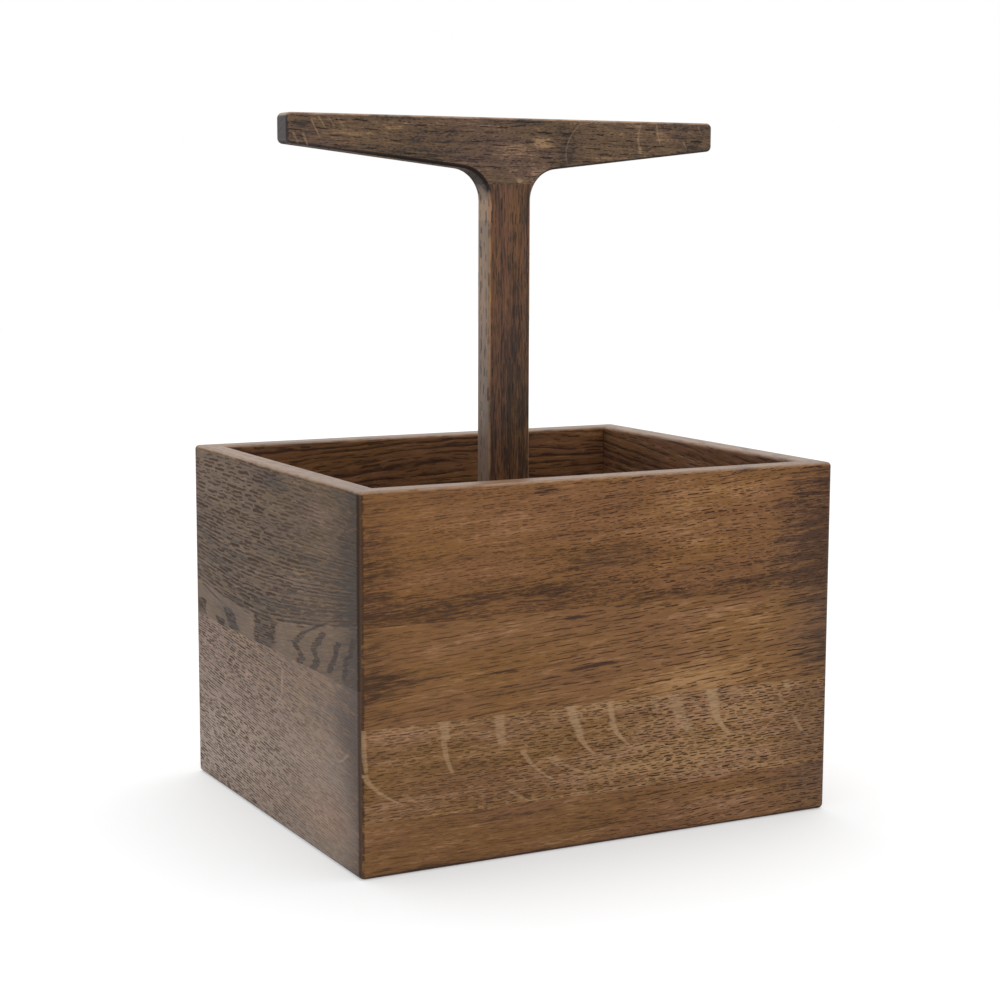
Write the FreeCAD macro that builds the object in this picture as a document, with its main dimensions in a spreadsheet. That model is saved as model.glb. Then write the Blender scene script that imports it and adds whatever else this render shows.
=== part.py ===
import FreeCAD, Part
import math
import os
import Sketcher
from FreeCAD import Rotation, Vector

# Open oak tote with a T handle, in millimetres.
# X runs along the long side, -Y is the front and +Z is up.
# The origin is the centre of the base, on the table.
# Each wall is a panel of edge-glued boards, mitred at the corners over hidden splines.
# A loose floor sits in grooves, and the handle is screwed to it from below.

# Driving sizes, each with a name, a value and what it measures

DRIVING_SIZES = (
    # Box
    ("box_length", 240.0, "outside, along X"),
    ("box_width", 200.0, "outside, along Y"),
    ("box_height", 165.0, "table to rim"),
    ("wall", 12.0, "thickness of the wall boards"),
    ("corner_round", 3.0, "radius of the upright outer corners"),
    ("rim_round", 1.8, "radius of both arrises of the rim"),
    ("base_round", 2.5, "radius of the outer arris at the table"),
    # Heights of the glue lines between boards, as shares of the box's height
    ("front_low_share", 0.143, "front wall, base board to ray-flecked board"),
    ("front_middle_share", 0.392, "front wall, ray-flecked board to upper board"),
    ("front_high_share", 0.653, "front wall, upper board to rim board"),
    ("left_share", 0.492, "left end, lower board to upper board"),
    ("right_share", 0.455, "right end, lower board to upper board"),
    ("back_low_share", 0.31, "back wall, base board to middle board"),
    ("back_high_share", 0.64, "back wall, middle board to rim board"),
    # Corner splines
    ("spline_thickness", 3.0, "across the grain of the mitre"),
    ("spline_width", 10.0, "half of it in each wall"),
    ("spline_share", 0.35, "place on the mitre, from the inner corner to the outer one"),
    ("spline_foot_gap", 2.0, "from the floor's top up to the spline"),
    ("spline_rim_gap", 15.0, "from the spline up to the rim"),
    ("glue_gap", 0.05, "clearance all round a spline, a dowel or a tenon"),
    # Floor
    ("floor_lift", 4.0, "table to the floor's underside"),
    ("floor_thickness", 10.0, "of the floor boards"),
    ("tongue_thickness", 5.0, "of the tongue all round the floor"),
    ("tongue_length", 5.0, "reach of the tongue into the walls"),
    ("tongue_room", 1.0, "left beyond the tongue, for the floor to swell"),
    ("tongue_play", 0.1, "above the tongue in its groove"),
    ("floor_play", 0.2, "between the floor's upper edge and the walls"),
    ("floor_front_share", 0.35, "glue line of front and middle floor boards, across the inside"),
    ("floor_back_share", 0.67, "glue line of middle and back floor boards, across the inside"),
    # Handle
    ("overall_height", 322.7, "table to the top of the crossbar"),
    ("handle_thickness", 12.5, "crossbar and post, along Y"),
    ("post_width", 22.0, "along X"),
    ("crossbar_length", 224.0, "along X"),
    ("crossbar_end_height", 13.5, "at both ends"),
    ("crossbar_middle_height", 26.1, "where the two undersides would meet"),
    ("crossbar_end_round", 2.5, "radius of the corners at both ends, seen from the front"),
    ("throat_radius", 15.0, "of the fillets between crossbar and post"),
    ("handle_round", 1.5, "radius of the arrises"),
    ("joint_drop", 30.7, "from the top down to the glue line of crossbar and post"),
    # Dowels between crossbar and post
    ("dowel_diameter", 6.0, "of each dowel"),
    ("dowel_length", 30.0, "half of it in the crossbar"),
    ("dowel_spacing", 11.0, "between the two dowels"),
    ("dowel_chamfer", 0.8, "at both ends of a dowel"),
    ("dowel_room", 1.0, "left beyond each end of a dowel"),
    # Foot of the post
    ("tenon_width", 18.0, "along X"),
    ("tenon_thickness", 8.5, "along Y"),
    ("tenon_length", 4.0, "into the floor"),
    ("tenon_room", 0.3, "left below the tenon"),
    # Countersunk screws, from below through the floor into the post
    ("screw_diameter", 3.5, "of the shank"),
    ("screw_head_diameter", 7.0, "of the head, which tapers at 45 degrees"),
    ("screw_length", 40.0, "overall"),
    ("screw_point", 4.0, "length of the pointed end"),
    ("screw_spacing", 12.0, "between the two screws"),
    ("screw_inset", 0.3, "from the floor's underside up to the head"),
    ("screw_room", 1.0, "left beyond the point"),
    ("drive_length", 3.8, "from arm to arm of the cross recess"),
    ("drive_width", 0.8, "of an arm of the cross recess"),
    ("drive_depth", 1.2, "of the cross recess"),
    # Cuts
    ("overrun", 5.0, "how far a cut reaches past what it cuts"),
)

doc = FreeCAD.newDocument("oak_tote")
sheet = doc.addObject("Spreadsheet::Sheet", "sizes")
for row, (alias, value, meaning) in enumerate(DRIVING_SIZES, start=1):
    sheet.set(f"A{row}", meaning)
    sheet.set(f"B{row}", str(value))
    sheet.setAlias(f"B{row}", alias)
doc.recompute()

# Places worked out from the driving sizes, as expressions

HALF_LENGTH = "sizes.box_length / 2"
HALF_WIDTH = "sizes.box_width / 2"
INNER_HALF_LENGTH = f"({HALF_LENGTH} - sizes.wall)"
INNER_HALF_WIDTH = f"({HALF_WIDTH} - sizes.wall)"
FLOOR_TOP = "(sizes.floor_lift + sizes.floor_thickness)"
GROOVE_DEPTH = "(sizes.tongue_length + sizes.tongue_room)"
GROOVE_HEIGHT = "(sizes.tongue_thickness + sizes.tongue_play)"
SPLINE_LOW = f"({FLOOR_TOP} + sizes.spline_foot_gap)"
SPLINE_LENGTH = f"(sizes.box_height - sizes.spline_rim_gap - {SPLINE_LOW})"
HALF_HANDLE = "sizes.handle_thickness / 2"
HALF_POST = "sizes.post_width / 2"
HALF_CROSSBAR = "sizes.crossbar_length / 2"

# Heights on the handle, above the floor's top that its post stands on
HANDLE_TOP = f"(sizes.overall_height - {FLOOR_TOP})"
CROSSBAR_END = f"({HANDLE_TOP} - sizes.crossbar_end_height)"
UNDERSIDE_RISE = "(sizes.crossbar_middle_height - sizes.crossbar_end_height)"
THROAT_CORNER = (f"({HANDLE_TOP} - sizes.crossbar_middle_height"
                 f" + {UNDERSIDE_RISE} * sizes.post_width / sizes.crossbar_length)")
HANDLE_JOINT = f"({HANDLE_TOP} - sizes.joint_drop)"


def number(expression):
    """The value of an expression, as a plain number."""
    return float(sheet.evalExpression(expression))


# Sketches and features

def new_body(label, turn=0):
    """A named sub-part, turned about Z by some degrees."""
    body = doc.addObject("PartDesign::Body", label)
    body.Label = label
    body.Placement.Rotation = Rotation(Vector(0, 0, 1), turn)
    return body


def place(body, x=None, y=None, z=None):
    """Binds the body's place to expressions."""
    for axis, expression in zip("xyz", (x, y, z)):
        if expression:
            body.setExpression(f"Placement.Base.{axis}", expression)


def origin_part(body, role):
    """One of the body's own origin planes or axes."""
    return next(part for part in body.Origin.OriginFeatures if part.Role == role)


def new_sketch(body, name, plane, height="0"):
    """An empty sketch on an origin plane, raised along that plane's normal."""
    sketch = body.newObject("Sketcher::SketchObject", name)
    sketch.AttachmentSupport = (origin_part(body, plane), [""])
    sketch.MapMode = "FlatFace"
    sketch.setExpression("AttachmentOffset.Base.z", height)
    return sketch


def draw_outline(sketch, corners, arcs=()):
    """Draws a closed outline anticlockwise through corners given as pairs of expressions.

    arcs holds, for each rounded side, the number of its first corner, its centre and its radius.
    """
    points = [Vector(number(x), number(y), 0) for x, y in corners]
    rounded = {start: (centre, radius) for start, centre, radius in arcs}
    sides = []
    for start, point in enumerate(points):
        end = points[(start + 1) % len(points)]
        if start in rounded:
            centre, radius = rounded[start]
            middle = Vector(number(centre[0]), number(centre[1]), 0)
            angles = [math.atan2(spot.y - middle.y, spot.x - middle.x) for spot in (point, end)]
            circle = Part.Circle(middle, Vector(0, 0, 1), number(radius))
            sides.append(sketch.addGeometry(Part.ArcOfCircle(circle, *angles)))
            sketch.addConstraint(Sketcher.Constraint("Radius", sides[-1], number(radius)))
            sketch.setExpression(f"Constraints[{sketch.ConstraintCount - 1}]", radius)
        else:
            sides.append(sketch.addGeometry(Part.LineSegment(point, end)))
    for order, side in enumerate(sides):
        sketch.addConstraint(Sketcher.Constraint("Coincident", sides[order - 1], 2, side, 1))
        for kind, spot, expression in zip(("DistanceX", "DistanceY"), points[order], corners[order]):
            sketch.addConstraint(Sketcher.Constraint(kind, -1, 1, side, 1, spot))
            sketch.setExpression(f"Constraints[{sketch.ConstraintCount - 1}]", expression)


def draw_circle(sketch, x, diameter):
    """Draws a circle on the sketch's horizontal axis."""
    circle = Part.Circle(Vector(number(x), 0, 0), Vector(0, 0, 1), number(diameter) / 2)
    side = sketch.addGeometry(circle)
    sketch.addConstraint(Sketcher.Constraint("DistanceY", -1, 1, side, 3, 0))
    sketch.addConstraint(Sketcher.Constraint("DistanceX", -1, 1, side, 3, number(x)))
    sketch.setExpression(f"Constraints[{sketch.ConstraintCount - 1}]", x)
    sketch.addConstraint(Sketcher.Constraint("Diameter", side, number(diameter)))
    sketch.setExpression(f"Constraints[{sketch.ConstraintCount - 1}]", diameter)


def rectangle(low_x, low_y, high_x, high_y):
    """The four corners of an upright rectangle, anticlockwise."""
    return [(low_x, low_y), (high_x, low_y), (high_x, high_y), (low_x, high_y)]


def add_pad(body, sketch, length, symmetric=False):
    """Raises a sketch along its normal, or to both sides of its plane."""
    pad = body.newObject("PartDesign::Pad", sketch.Name + "_pad")
    pad.Profile = sketch
    pad.SideType = "Symmetric" if symmetric else "One side"
    pad.setExpression("Length", length)
    doc.recompute()
    return pad


def add_pocket(body, sketch, length=None, symmetric=False, along_normal=False):
    """Cuts a sketch to a depth, or right through where no length is given."""
    before = body.Tip.Shape.Volume
    pocket = body.newObject("PartDesign::Pocket", sketch.Name + "_pocket")
    pocket.Profile = sketch
    pocket.SideType = "Symmetric" if symmetric else "One side"
    pocket.Reversed = along_normal
    if length:
        pocket.setExpression("Length", length)
    else:
        pocket.Type = "ThroughAll"
    doc.recompute()
    if not pocket.Shape.Volume < before:
        raise RuntimeError(f"{body.Label}: {pocket.Name} cuts nothing")
    return pocket


def add_dress_up(body, kind, size, chosen):
    """Rounds or chamfers the tip's edges that a test chooses."""
    base = body.Tip
    names = [f"Edge{order}" for order, edge in enumerate(base.Shape.Edges, start=1) if chosen(edge)]
    feature = body.newObject(f"PartDesign::{kind}", f"{base.Name}_{kind.lower()}")
    feature.Base = (base, names)
    feature.setExpression("Radius" if kind == "Fillet" else "Size", size)
    doc.recompute()
    return feature


def add_row(body, spacing):
    """Repeats the whole sub-part once along X, as a second solid."""
    pattern = body.newObject("PartDesign::LinearPattern", body.Name + "_row")
    pattern.TransformMode = "Whole shape"
    pattern.Direction = (origin_part(body, "X_Axis"), [""])
    pattern.setExpression("Length", spacing)
    pattern.Occurrences = 2
    body.Tip = pattern
    doc.recompute()
    return pattern


TOLERANCE = 1e-6


def near(first, second):
    """Whether two lengths are the same."""
    return abs(first - second) < TOLERANCE


def all_points(edge, test):
    """Whether a test holds for the ends and the middle of an edge."""
    middle = edge.valueAt((edge.FirstParameter + edge.LastParameter) / 2)
    return all(test(point) for point in [vertex.Point for vertex in edge.Vertexes] + [middle])


# Walls

def spline_slot(side, half_run, reach):
    """The slot in one mitred end of a wall board: side is 1 at its right end and -1 at its left.

    The slot lies square to the mitre, and its centre line leaves the mitre at a share of the way out.
    """
    place_x = f"({half_run} - sizes.wall * (1 - sizes.spline_share))"
    place_y = f"(-{reach} + sizes.wall * (1 - sizes.spline_share))"
    depth = "(sizes.spline_width / 2 + sizes.glue_gap) * cos(45 deg)"
    past = "sizes.overrun * cos(45 deg)"
    half = "(sizes.spline_thickness / 2 + sizes.glue_gap) * cos(45 deg)"
    corners = [(f"{place_x} - {depth} + {half}", f"{place_y} - {depth} - {half}"),
               (f"{place_x} + {past} + {half}", f"{place_y} + {past} - {half}"),
               (f"{place_x} + {past} - {half}", f"{place_y} + {past} + {half}"),
               (f"{place_x} - {depth} - {half}", f"{place_y} - {depth} + {half}")]
    if side < 0:
        corners = [(f"-({x})", y) for x, y in reversed(corners)]
    return corners


def wall_board(label, run, depth, turn, low, high, rim, base):
    """One board of a wall, drawn as the front wall and turned to its side of the box.

    run is the wall's length, depth the box's other side, low and high the board's two edges.
    """
    half_run = f"{run} / 2"
    reach = f"{depth} / 2"
    outer_y = -number(reach)
    inner_y = outer_y + number("sizes.wall")
    body = new_body(label, turn)
    place(body, z=low)

    # Plan: both ends are cut along the mitre, where half of the rounded corner ends
    shave = "sizes.corner_round * (1 - cos(45 deg))"
    plan = [(f"-{half_run} + sizes.corner_round", f"-{reach}"),
            (f"{half_run} - sizes.corner_round", f"-{reach}"),
            (f"{half_run} - {shave}", f"-{reach} + {shave}"),
            (f"{half_run} - sizes.wall", f"-{reach} + sizes.wall"),
            (f"-{half_run} + sizes.wall", f"-{reach} + sizes.wall"),
            (f"-{half_run} + {shave}", f"-{reach} + {shave}")]
    centre_y = f"-{reach} + sizes.corner_round"
    rounds = [(1, (f"{half_run} - sizes.corner_round", centre_y), "sizes.corner_round"),
              (5, (f"-{half_run} + sizes.corner_round", centre_y), "sizes.corner_round")]
    plan_sketch = new_sketch(body, label + "_plan", "XY_Plane")
    draw_outline(plan_sketch, plan, rounds)
    add_pad(body, plan_sketch, f"{high} - ({low})")

    if rim:
        top = number(f"{high} - ({low})")
        corner = number("sizes.corner_round")
        outside = lambda point: near(point.z, top) and point.y < outer_y + corner
        inside = lambda point: near(point.z, top) and near(point.y, inner_y)
        add_dress_up(body, "Fillet", "sizes.rim_round",
                     lambda edge: all_points(edge, outside) or all_points(edge, inside))
    if base:
        corner = number("sizes.corner_round")
        bottom = lambda point: near(point.z, 0) and point.y < outer_y + corner
        add_dress_up(body, "Fillet", "sizes.base_round", lambda edge: all_points(edge, bottom))

        groove_sketch = new_sketch(body, label + "_groove", "YZ_Plane")
        draw_outline(groove_sketch, rectangle(
            f"-{reach} + sizes.wall - {GROOVE_DEPTH}", "sizes.floor_lift",
            f"-{reach} + sizes.wall + sizes.overrun", f"sizes.floor_lift + {GROOVE_HEIGHT}"))
        add_pocket(body, groove_sketch, symmetric=True)

    slot_sketch = new_sketch(body, label + "_slots", "XY_Plane", f"{SPLINE_LOW} - ({low})")
    for side in (-1, 1):
        draw_outline(slot_sketch, spline_slot(side, half_run, reach))
    add_pocket(body, slot_sketch, f"{SPLINE_LENGTH} + sizes.glue_gap", along_normal=True)
    return body


# Each wall: its length, the box's other side, its turn about Z, and its boards from the base up,
# each board with the share of the height that its upper edge reaches
WALLS = (
    ("sizes.box_length", "sizes.box_width", 0,
     (("front_base_board", "sizes.front_low_share"), ("front_ray_board", "sizes.front_middle_share"),
      ("front_upper_board", "sizes.front_high_share"), ("front_rim_board", "1"))),
    ("sizes.box_width", "sizes.box_length", 90,
     (("right_lower_board", "sizes.right_share"), ("right_rim_board", "1"))),
    ("sizes.box_length", "sizes.box_width", 180,
     (("back_base_board", "sizes.back_low_share"), ("back_middle_board", "sizes.back_high_share"),
      ("back_rim_board", "1"))),
    ("sizes.box_width", "sizes.box_length", 270,
     (("left_lower_board", "sizes.left_share"), ("left_rim_board", "1"))),
)


def build_walls():
    """All four panels, board by board."""
    for run, depth, turn, boards in WALLS:
        low = "0"
        for label, share in boards:
            high = f"sizes.box_height * {share}"
            rim = (label, share) == boards[-1]
            base = (label, share) == boards[0]
            wall_board(label, run, depth, turn, low, high, rim, base)
            low = high


# Corner splines

CORNERS = (("front_left", -1, -1), ("front_right", 1, -1), ("back_right", 1, 1), ("back_left", -1, 1))


def build_splines():
    """A strip of oak across each mitre, stopped short of the rim and the floor."""
    for name, side_x, side_y in CORNERS:
        label = f"{name}_spline"
        body = new_body(label, 45 * side_x * side_y + 90)
        place(body,
              f"{side_x} * ({INNER_HALF_LENGTH} + sizes.wall * sizes.spline_share)",
              f"{side_y} * ({INNER_HALF_WIDTH} + sizes.wall * sizes.spline_share)",
              SPLINE_LOW)
        sketch = new_sketch(body, label + "_plan", "XY_Plane")
        draw_outline(sketch, rectangle("-sizes.spline_width / 2", "-sizes.spline_thickness / 2",
                                       "sizes.spline_width / 2", "sizes.spline_thickness / 2"))
        add_pad(body, sketch, SPLINE_LENGTH)


# Floor

def floor_board(label, low_y, high_y, front_edge=False, back_edge=False):
    """A floor board: its tongue first, then its upper part, which is clear of the walls.

    A front or back edge board has its tongue on that long edge too, and is clear of that wall.
    """
    body = new_body(label)
    place(body, z="sizes.floor_lift")
    tongue_x = f"({INNER_HALF_LENGTH} + sizes.tongue_length)"
    upper_x = f"({INNER_HALF_LENGTH} - sizes.floor_play)"
    tongue_low = f"{low_y} - sizes.tongue_length" if front_edge else low_y
    upper_low = f"{low_y} + sizes.floor_play" if front_edge else low_y
    tongue_high = f"{high_y} + sizes.tongue_length" if back_edge else high_y
    upper_high = f"{high_y} - sizes.floor_play" if back_edge else high_y
    tongue_sketch = new_sketch(body, label + "_tongue", "XY_Plane")
    draw_outline(tongue_sketch, rectangle(f"-{tongue_x}", tongue_low, tongue_x, tongue_high))
    add_pad(body, tongue_sketch, "sizes.tongue_thickness")
    upper_sketch = new_sketch(body, label + "_upper", "XY_Plane", "sizes.tongue_thickness")
    draw_outline(upper_sketch, rectangle(f"-{upper_x}", upper_low, upper_x, upper_high))
    add_pad(body, upper_sketch, "sizes.floor_thickness - sizes.tongue_thickness")
    return body


def build_floor():
    """Three edge-glued boards; the middle one takes the post's foot and its screws."""
    front_seam = f"{INNER_HALF_WIDTH} * (2 * sizes.floor_front_share - 1)"
    back_seam = f"{INNER_HALF_WIDTH} * (2 * sizes.floor_back_share - 1)"
    floor_board("floor_front_board", f"-{INNER_HALF_WIDTH}", front_seam, front_edge=True)
    middle = floor_board("floor_middle_board", front_seam, back_seam)
    floor_board("floor_back_board", back_seam, INNER_HALF_WIDTH, back_edge=True)

    # Blind mortise for the post's tenon
    half_x = "(sizes.tenon_width / 2 + sizes.glue_gap)"
    half_y = "(sizes.tenon_thickness / 2 + sizes.glue_gap)"
    mortise_sketch = new_sketch(middle, "mortise", "XY_Plane", "sizes.floor_thickness")
    draw_outline(mortise_sketch, rectangle(f"-{half_x}", f"-{half_y}", half_x, half_y))
    add_pocket(middle, mortise_sketch, "sizes.tenon_length + sizes.tenon_room")

    # Countersunk screw holes, drilled from the underside
    for order, side in enumerate(("-", "")):
        hole_sketch = new_sketch(middle, f"screw_hole_{order}", "XZ_Plane")
        radius = "(sizes.screw_diameter / 2 + sizes.glue_gap)"
        head = "(sizes.screw_head_diameter / 2 + sizes.screw_inset + sizes.glue_gap)"
        top = "sizes.floor_thickness"
        draw_outline(hole_sketch, [("0", "-sizes.overrun"), (f"{head} + sizes.overrun", "-sizes.overrun"),
                                   (radius, f"{head} - {radius}"), (radius, top), ("0", top)])
        hole_sketch.setExpression("AttachmentOffset.Base.x", f"{side}sizes.screw_spacing / 2")
        groove = middle.newObject("PartDesign::Groove", f"screw_hole_{order}_groove")
        groove.Profile = hole_sketch
        groove.ReferenceAxis = (hole_sketch, ["V_Axis"])
        groove.Angle = 360
        doc.recompute()


# Handle

def tee_blank(label):
    """The whole T in one piece, with its throats and its arrises rounded."""
    body = new_body(label)
    place(body, z=FLOOR_TOP)
    sketch = new_sketch(body, label + "_profile", "XZ_Plane")
    right = [(HALF_POST, "0"), (HALF_POST, THROAT_CORNER), (HALF_CROSSBAR, CROSSBAR_END),
             (HALF_CROSSBAR, HANDLE_TOP)]
    left = [(f"-{x}", z) for x, z in reversed(right)]
    draw_outline(sketch, right + left)
    add_pad(body, sketch, "sizes.handle_thickness", symmetric=True)

    half_post = number(HALF_POST)
    half_crossbar = number(HALF_CROSSBAR)
    half_thickness = number(HALF_HANDLE)
    throat = lambda point: near(abs(point.x), half_post) and point.z > TOLERANCE
    crosswise = lambda edge: near(edge.Length, 2 * half_thickness)
    add_dress_up(body, "Fillet", "sizes.throat_radius",
                 lambda edge: crosswise(edge) and all_points(edge, throat))
    tip = lambda point: near(abs(point.x), half_crossbar)
    add_dress_up(body, "Fillet", "sizes.crossbar_end_round",
                 lambda edge: crosswise(edge) and all_points(edge, tip))
    face = lambda point: near(abs(point.y), half_thickness)
    foot = lambda point: near(point.z, 0)
    add_dress_up(body, "Fillet", "sizes.handle_round",
                 lambda edge: all_points(edge, face) and not crosswise(edge)
                 and not all_points(edge, foot))
    return body


def trim_at_joint(body, keep_above):
    """Cuts the T at the glue line of crossbar and post, and keeps one side."""
    half_x = f"({HALF_CROSSBAR} + sizes.overrun)"
    half_y = f"({HALF_HANDLE} + sizes.overrun)"
    sketch = new_sketch(body, body.Name + "_trim", "XY_Plane", HANDLE_JOINT)
    draw_outline(sketch, rectangle(f"-{half_x}", f"-{half_y}", half_x, half_y))
    add_pocket(body, sketch, along_normal=not keep_above)


def drill_row(body, name, height, spacing, diameter, depth, upward):
    """Two round holes side by side along X, from a level up or down."""
    sketch = new_sketch(body, name, "XY_Plane", height)
    for side in ("-", ""):
        draw_circle(sketch, f"{side}{spacing} / 2", f"{diameter} + 2 * sizes.glue_gap")
    add_pocket(body, sketch, depth, along_normal=upward)


def build_handle():
    """The crossbar and the post, cut from the same T, and the dowels between them."""
    dowel_depth = "sizes.dowel_length / 2 + sizes.dowel_room"
    crossbar = tee_blank("handle_crossbar")
    trim_at_joint(crossbar, keep_above=True)
    drill_row(crossbar, "crossbar_dowel_holes", HANDLE_JOINT, "sizes.dowel_spacing",
              "sizes.dowel_diameter", dowel_depth, upward=True)

    post = tee_blank("handle_post")
    trim_at_joint(post, keep_above=False)
    drill_row(post, "post_dowel_holes", HANDLE_JOINT, "sizes.dowel_spacing",
              "sizes.dowel_diameter", dowel_depth, upward=False)
    tenon_sketch = new_sketch(post, "tenon", "XY_Plane", "-sizes.tenon_length")
    draw_outline(tenon_sketch, rectangle("-sizes.tenon_width / 2", "-sizes.tenon_thickness / 2",
                                         "sizes.tenon_width / 2", "sizes.tenon_thickness / 2"))
    add_pad(post, tenon_sketch, "sizes.tenon_length")
    drill_row(post, "post_screw_holes", "-sizes.tenon_length", "sizes.screw_spacing",
              "sizes.screw_diameter",
              f"sizes.screw_inset + sizes.screw_length + sizes.screw_room"
              f" - sizes.floor_thickness + sizes.tenon_length", upward=True)

    dowels = new_body("handle_dowels")
    place(dowels, "-sizes.dowel_spacing / 2", None,
          f"{FLOOR_TOP} + {HANDLE_JOINT} - sizes.dowel_length / 2")
    dowel_sketch = new_sketch(dowels, "dowel_section", "XY_Plane")
    draw_circle(dowel_sketch, "0", "sizes.dowel_diameter")
    add_pad(dowels, dowel_sketch, "sizes.dowel_length")
    add_dress_up(dowels, "Chamfer", "sizes.dowel_chamfer", lambda edge: edge.Closed)
    add_row(dowels, "sizes.dowel_spacing")


def build_screws():
    """Two countersunk wood screws with a cross recess, heads just inside the floor's underside."""
    screws = new_body("handle_screws")
    place(screws, "-sizes.screw_spacing / 2", None, "sizes.floor_lift + sizes.screw_inset")
    shank = "sizes.screw_diameter / 2"
    head = "sizes.screw_head_diameter / 2"
    profile = new_sketch(screws, "screw_profile", "XZ_Plane")
    draw_outline(profile, [("0", "0"), (head, "0"), (shank, f"{head} - {shank}"),
                           (shank, "sizes.screw_length - sizes.screw_point"),
                           ("0", "sizes.screw_length")])
    turned = screws.newObject("PartDesign::Revolution", "screw_turned")
    turned.Profile = profile
    turned.ReferenceAxis = (profile, ["V_Axis"])
    turned.Angle = 360
    doc.recompute()

    arm = "sizes.drive_length / 2"
    side = "sizes.drive_width / 2"
    quarter = [(arm, f"-{side}"), (arm, side), (side, side)]
    cross = quarter + [(side, arm), (f"-{side}", arm), (f"-{side}", side)]
    cross += [(f"-{arm}", side), (f"-{arm}", f"-{side}"), (f"-{side}", f"-{side}")]
    cross += [(f"-{side}", f"-{arm}"), (side, f"-{arm}"), (side, f"-{side}")]
    recess = new_sketch(screws, "drive_recess", "XY_Plane")
    draw_outline(recess, cross)
    add_pocket(screws, recess, "sizes.drive_depth", along_normal=True)
    add_row(screws, "sizes.screw_spacing")


def check_and_write():
    """Stops on any failed object or bad solid, then writes one file for each sub-part."""
    doc.recompute()
    for thing in doc.Objects:
        if "Invalid" in thing.State or "Error" in thing.State:
            raise RuntimeError(f"{thing.Label} did not compute: {thing.State}")
    bodies = [thing for thing in doc.Objects if thing.TypeId == "PartDesign::Body"]
    for body in bodies:
        if body.Shape.isNull() or not body.Shape.isValid() or not body.Shape.Solids:
            raise RuntimeError(f"{body.Label} has no sound solid")
    os.makedirs("parts", exist_ok=True)
    for body in bodies:
        body.Shape.exportStep(f"parts/{body.Label}.step")
        print(f"{body.Label}: {len(body.Shape.Solids)} solid(s), {body.Shape.Volume:.0f} mm3")


build_walls()
build_splines()
build_floor()
build_handle()
build_screws()
check_and_write()
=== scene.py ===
"""Looks and stage of an open oak tote with a T handle, built round its packed CAD frame."""

from dataclasses import dataclass
import math

import bpy
from bpy.props import FloatProperty, FloatVectorProperty, PointerProperty
from bpy.types import Operator, Panel, PropertyGroup
from mathutils import Matrix, Vector


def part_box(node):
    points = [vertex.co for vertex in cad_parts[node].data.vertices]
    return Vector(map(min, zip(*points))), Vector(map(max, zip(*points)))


bl_info = {
    "name": "Oak tote",
    "version": (1, 0, 0),
    "blender": (4, 5, 0),
    "location": "View3D > Sidebar > Oak tote",
    "description": "Finishes the boards, handle and fixings of an oak tote and sets its stage",
    "category": "Object",
}

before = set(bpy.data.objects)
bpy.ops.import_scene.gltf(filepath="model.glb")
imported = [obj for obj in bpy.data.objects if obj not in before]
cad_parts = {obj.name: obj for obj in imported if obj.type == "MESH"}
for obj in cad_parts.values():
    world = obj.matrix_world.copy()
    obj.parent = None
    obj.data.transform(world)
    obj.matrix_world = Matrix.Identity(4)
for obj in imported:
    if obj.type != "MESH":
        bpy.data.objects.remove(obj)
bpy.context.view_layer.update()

MM = 1000.0  # millimetres in a metre
HALF_LENGTH, HALF_WIDTH = 120.0, 100.0  # of the box, in millimetres
OIL_IOR = 1.25
X, Y, Z = 0, 1, 2
WHITE = (1.0, 1.0, 1.0, 1.0)

# Noise scales, in waves per millimetre along the grain, across it and into the wood
SLOW_WANDER = (0.009, 0.04, 0.04)
QUICK_WANDER = (0.035, 0.13, 0.13)
RIPPLES = (0.14, 0.22, 0.22)
RING_PATCHES = (0.02, 0.2, 0.2)
ROW_WOBBLE = (0.02, 0.16, 0.16)
VESSEL_BENDS = (0.25, 0.2, 0.2)
FIBRES = (0.11, 1.25, 1.25)
STREAKS = (0.013, 0.24, 0.24)
BLOTCHES = (0.03, 0.09, 0.09)
MOTTLE = (0.16, 0.3, 0.3)
SPECKLES = (0.6, 1.0, 1.0)
HUE_DRIFT = (0.017, 0.07, 0.07)
HANDLING = (0.12, 0.12, 0.12)
BAND_EDGE = (0.07, 0.8, 0.0)
RAGGED_ROWS = (0.05, 0.9, 0.0)
RAGGED_WAVES = (0.02, 0.16, 0.0)

# Distances in the wood, in millimetres along the grain, across it and into it
SEED_STEP = (131.0, 77.0, 33.0)
LAYER_STEP = (17.0, 5.3, 3.0)
WANDER_REACH = (0.0, 4.0, 2.5)
BAND_EDGE_REACH = 6.0
RAGGED_ROW_REACH, RAGGED_WAVE_REACH = 7.0, 4.0

# Shares of the figure
QUICK_SHARE = (0.3, 0.3, 0.3)
NOISE_MIDDLE = 0.5
UNEVEN_RINGS = 0.45
RING_PROFILE = ((0.0, 0.7), (0.07, 1.0), (0.3, 0.5), (0.62, 0.06), (0.93, 0.0), (1.0, 0.7))
ROW_SLANT, ROW_WOBBLE_REACH = 0.35, 0.8
ROW_SALT, PLACE_SALT, SIZE_SALT = 3.0, 7.0, 19.0  # tell the random draws apart
ROW_SHIFT = 41.0  # cells that a row may be shifted by
LAYERS, LAYER_SHIFT = 1.1, 5.0  # layers of vessels in a millimetre, and their shift
CELL_MIDDLE, PLACE_SPREAD, COVER_SPREAD = 0.5, 0.3, 0.3
THINNEST, PALEST, SPREAD = 0.55, 0.65, 0.35  # of a vessel
END_SHADE = 0.8
BAND_LIGHT, HATCH_SHADE = 0.04, 0.34
PORES_FILLED_ABOVE = 0.75
LEAST_ROUGHNESS, ROUGHER_BELOW = 0.15, 0.4
GOLDEN_DRIFT = (0.02, 0.0, -0.09)
PURPLE_DRIFT = (0.0, -0.035, 0.07)

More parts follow.
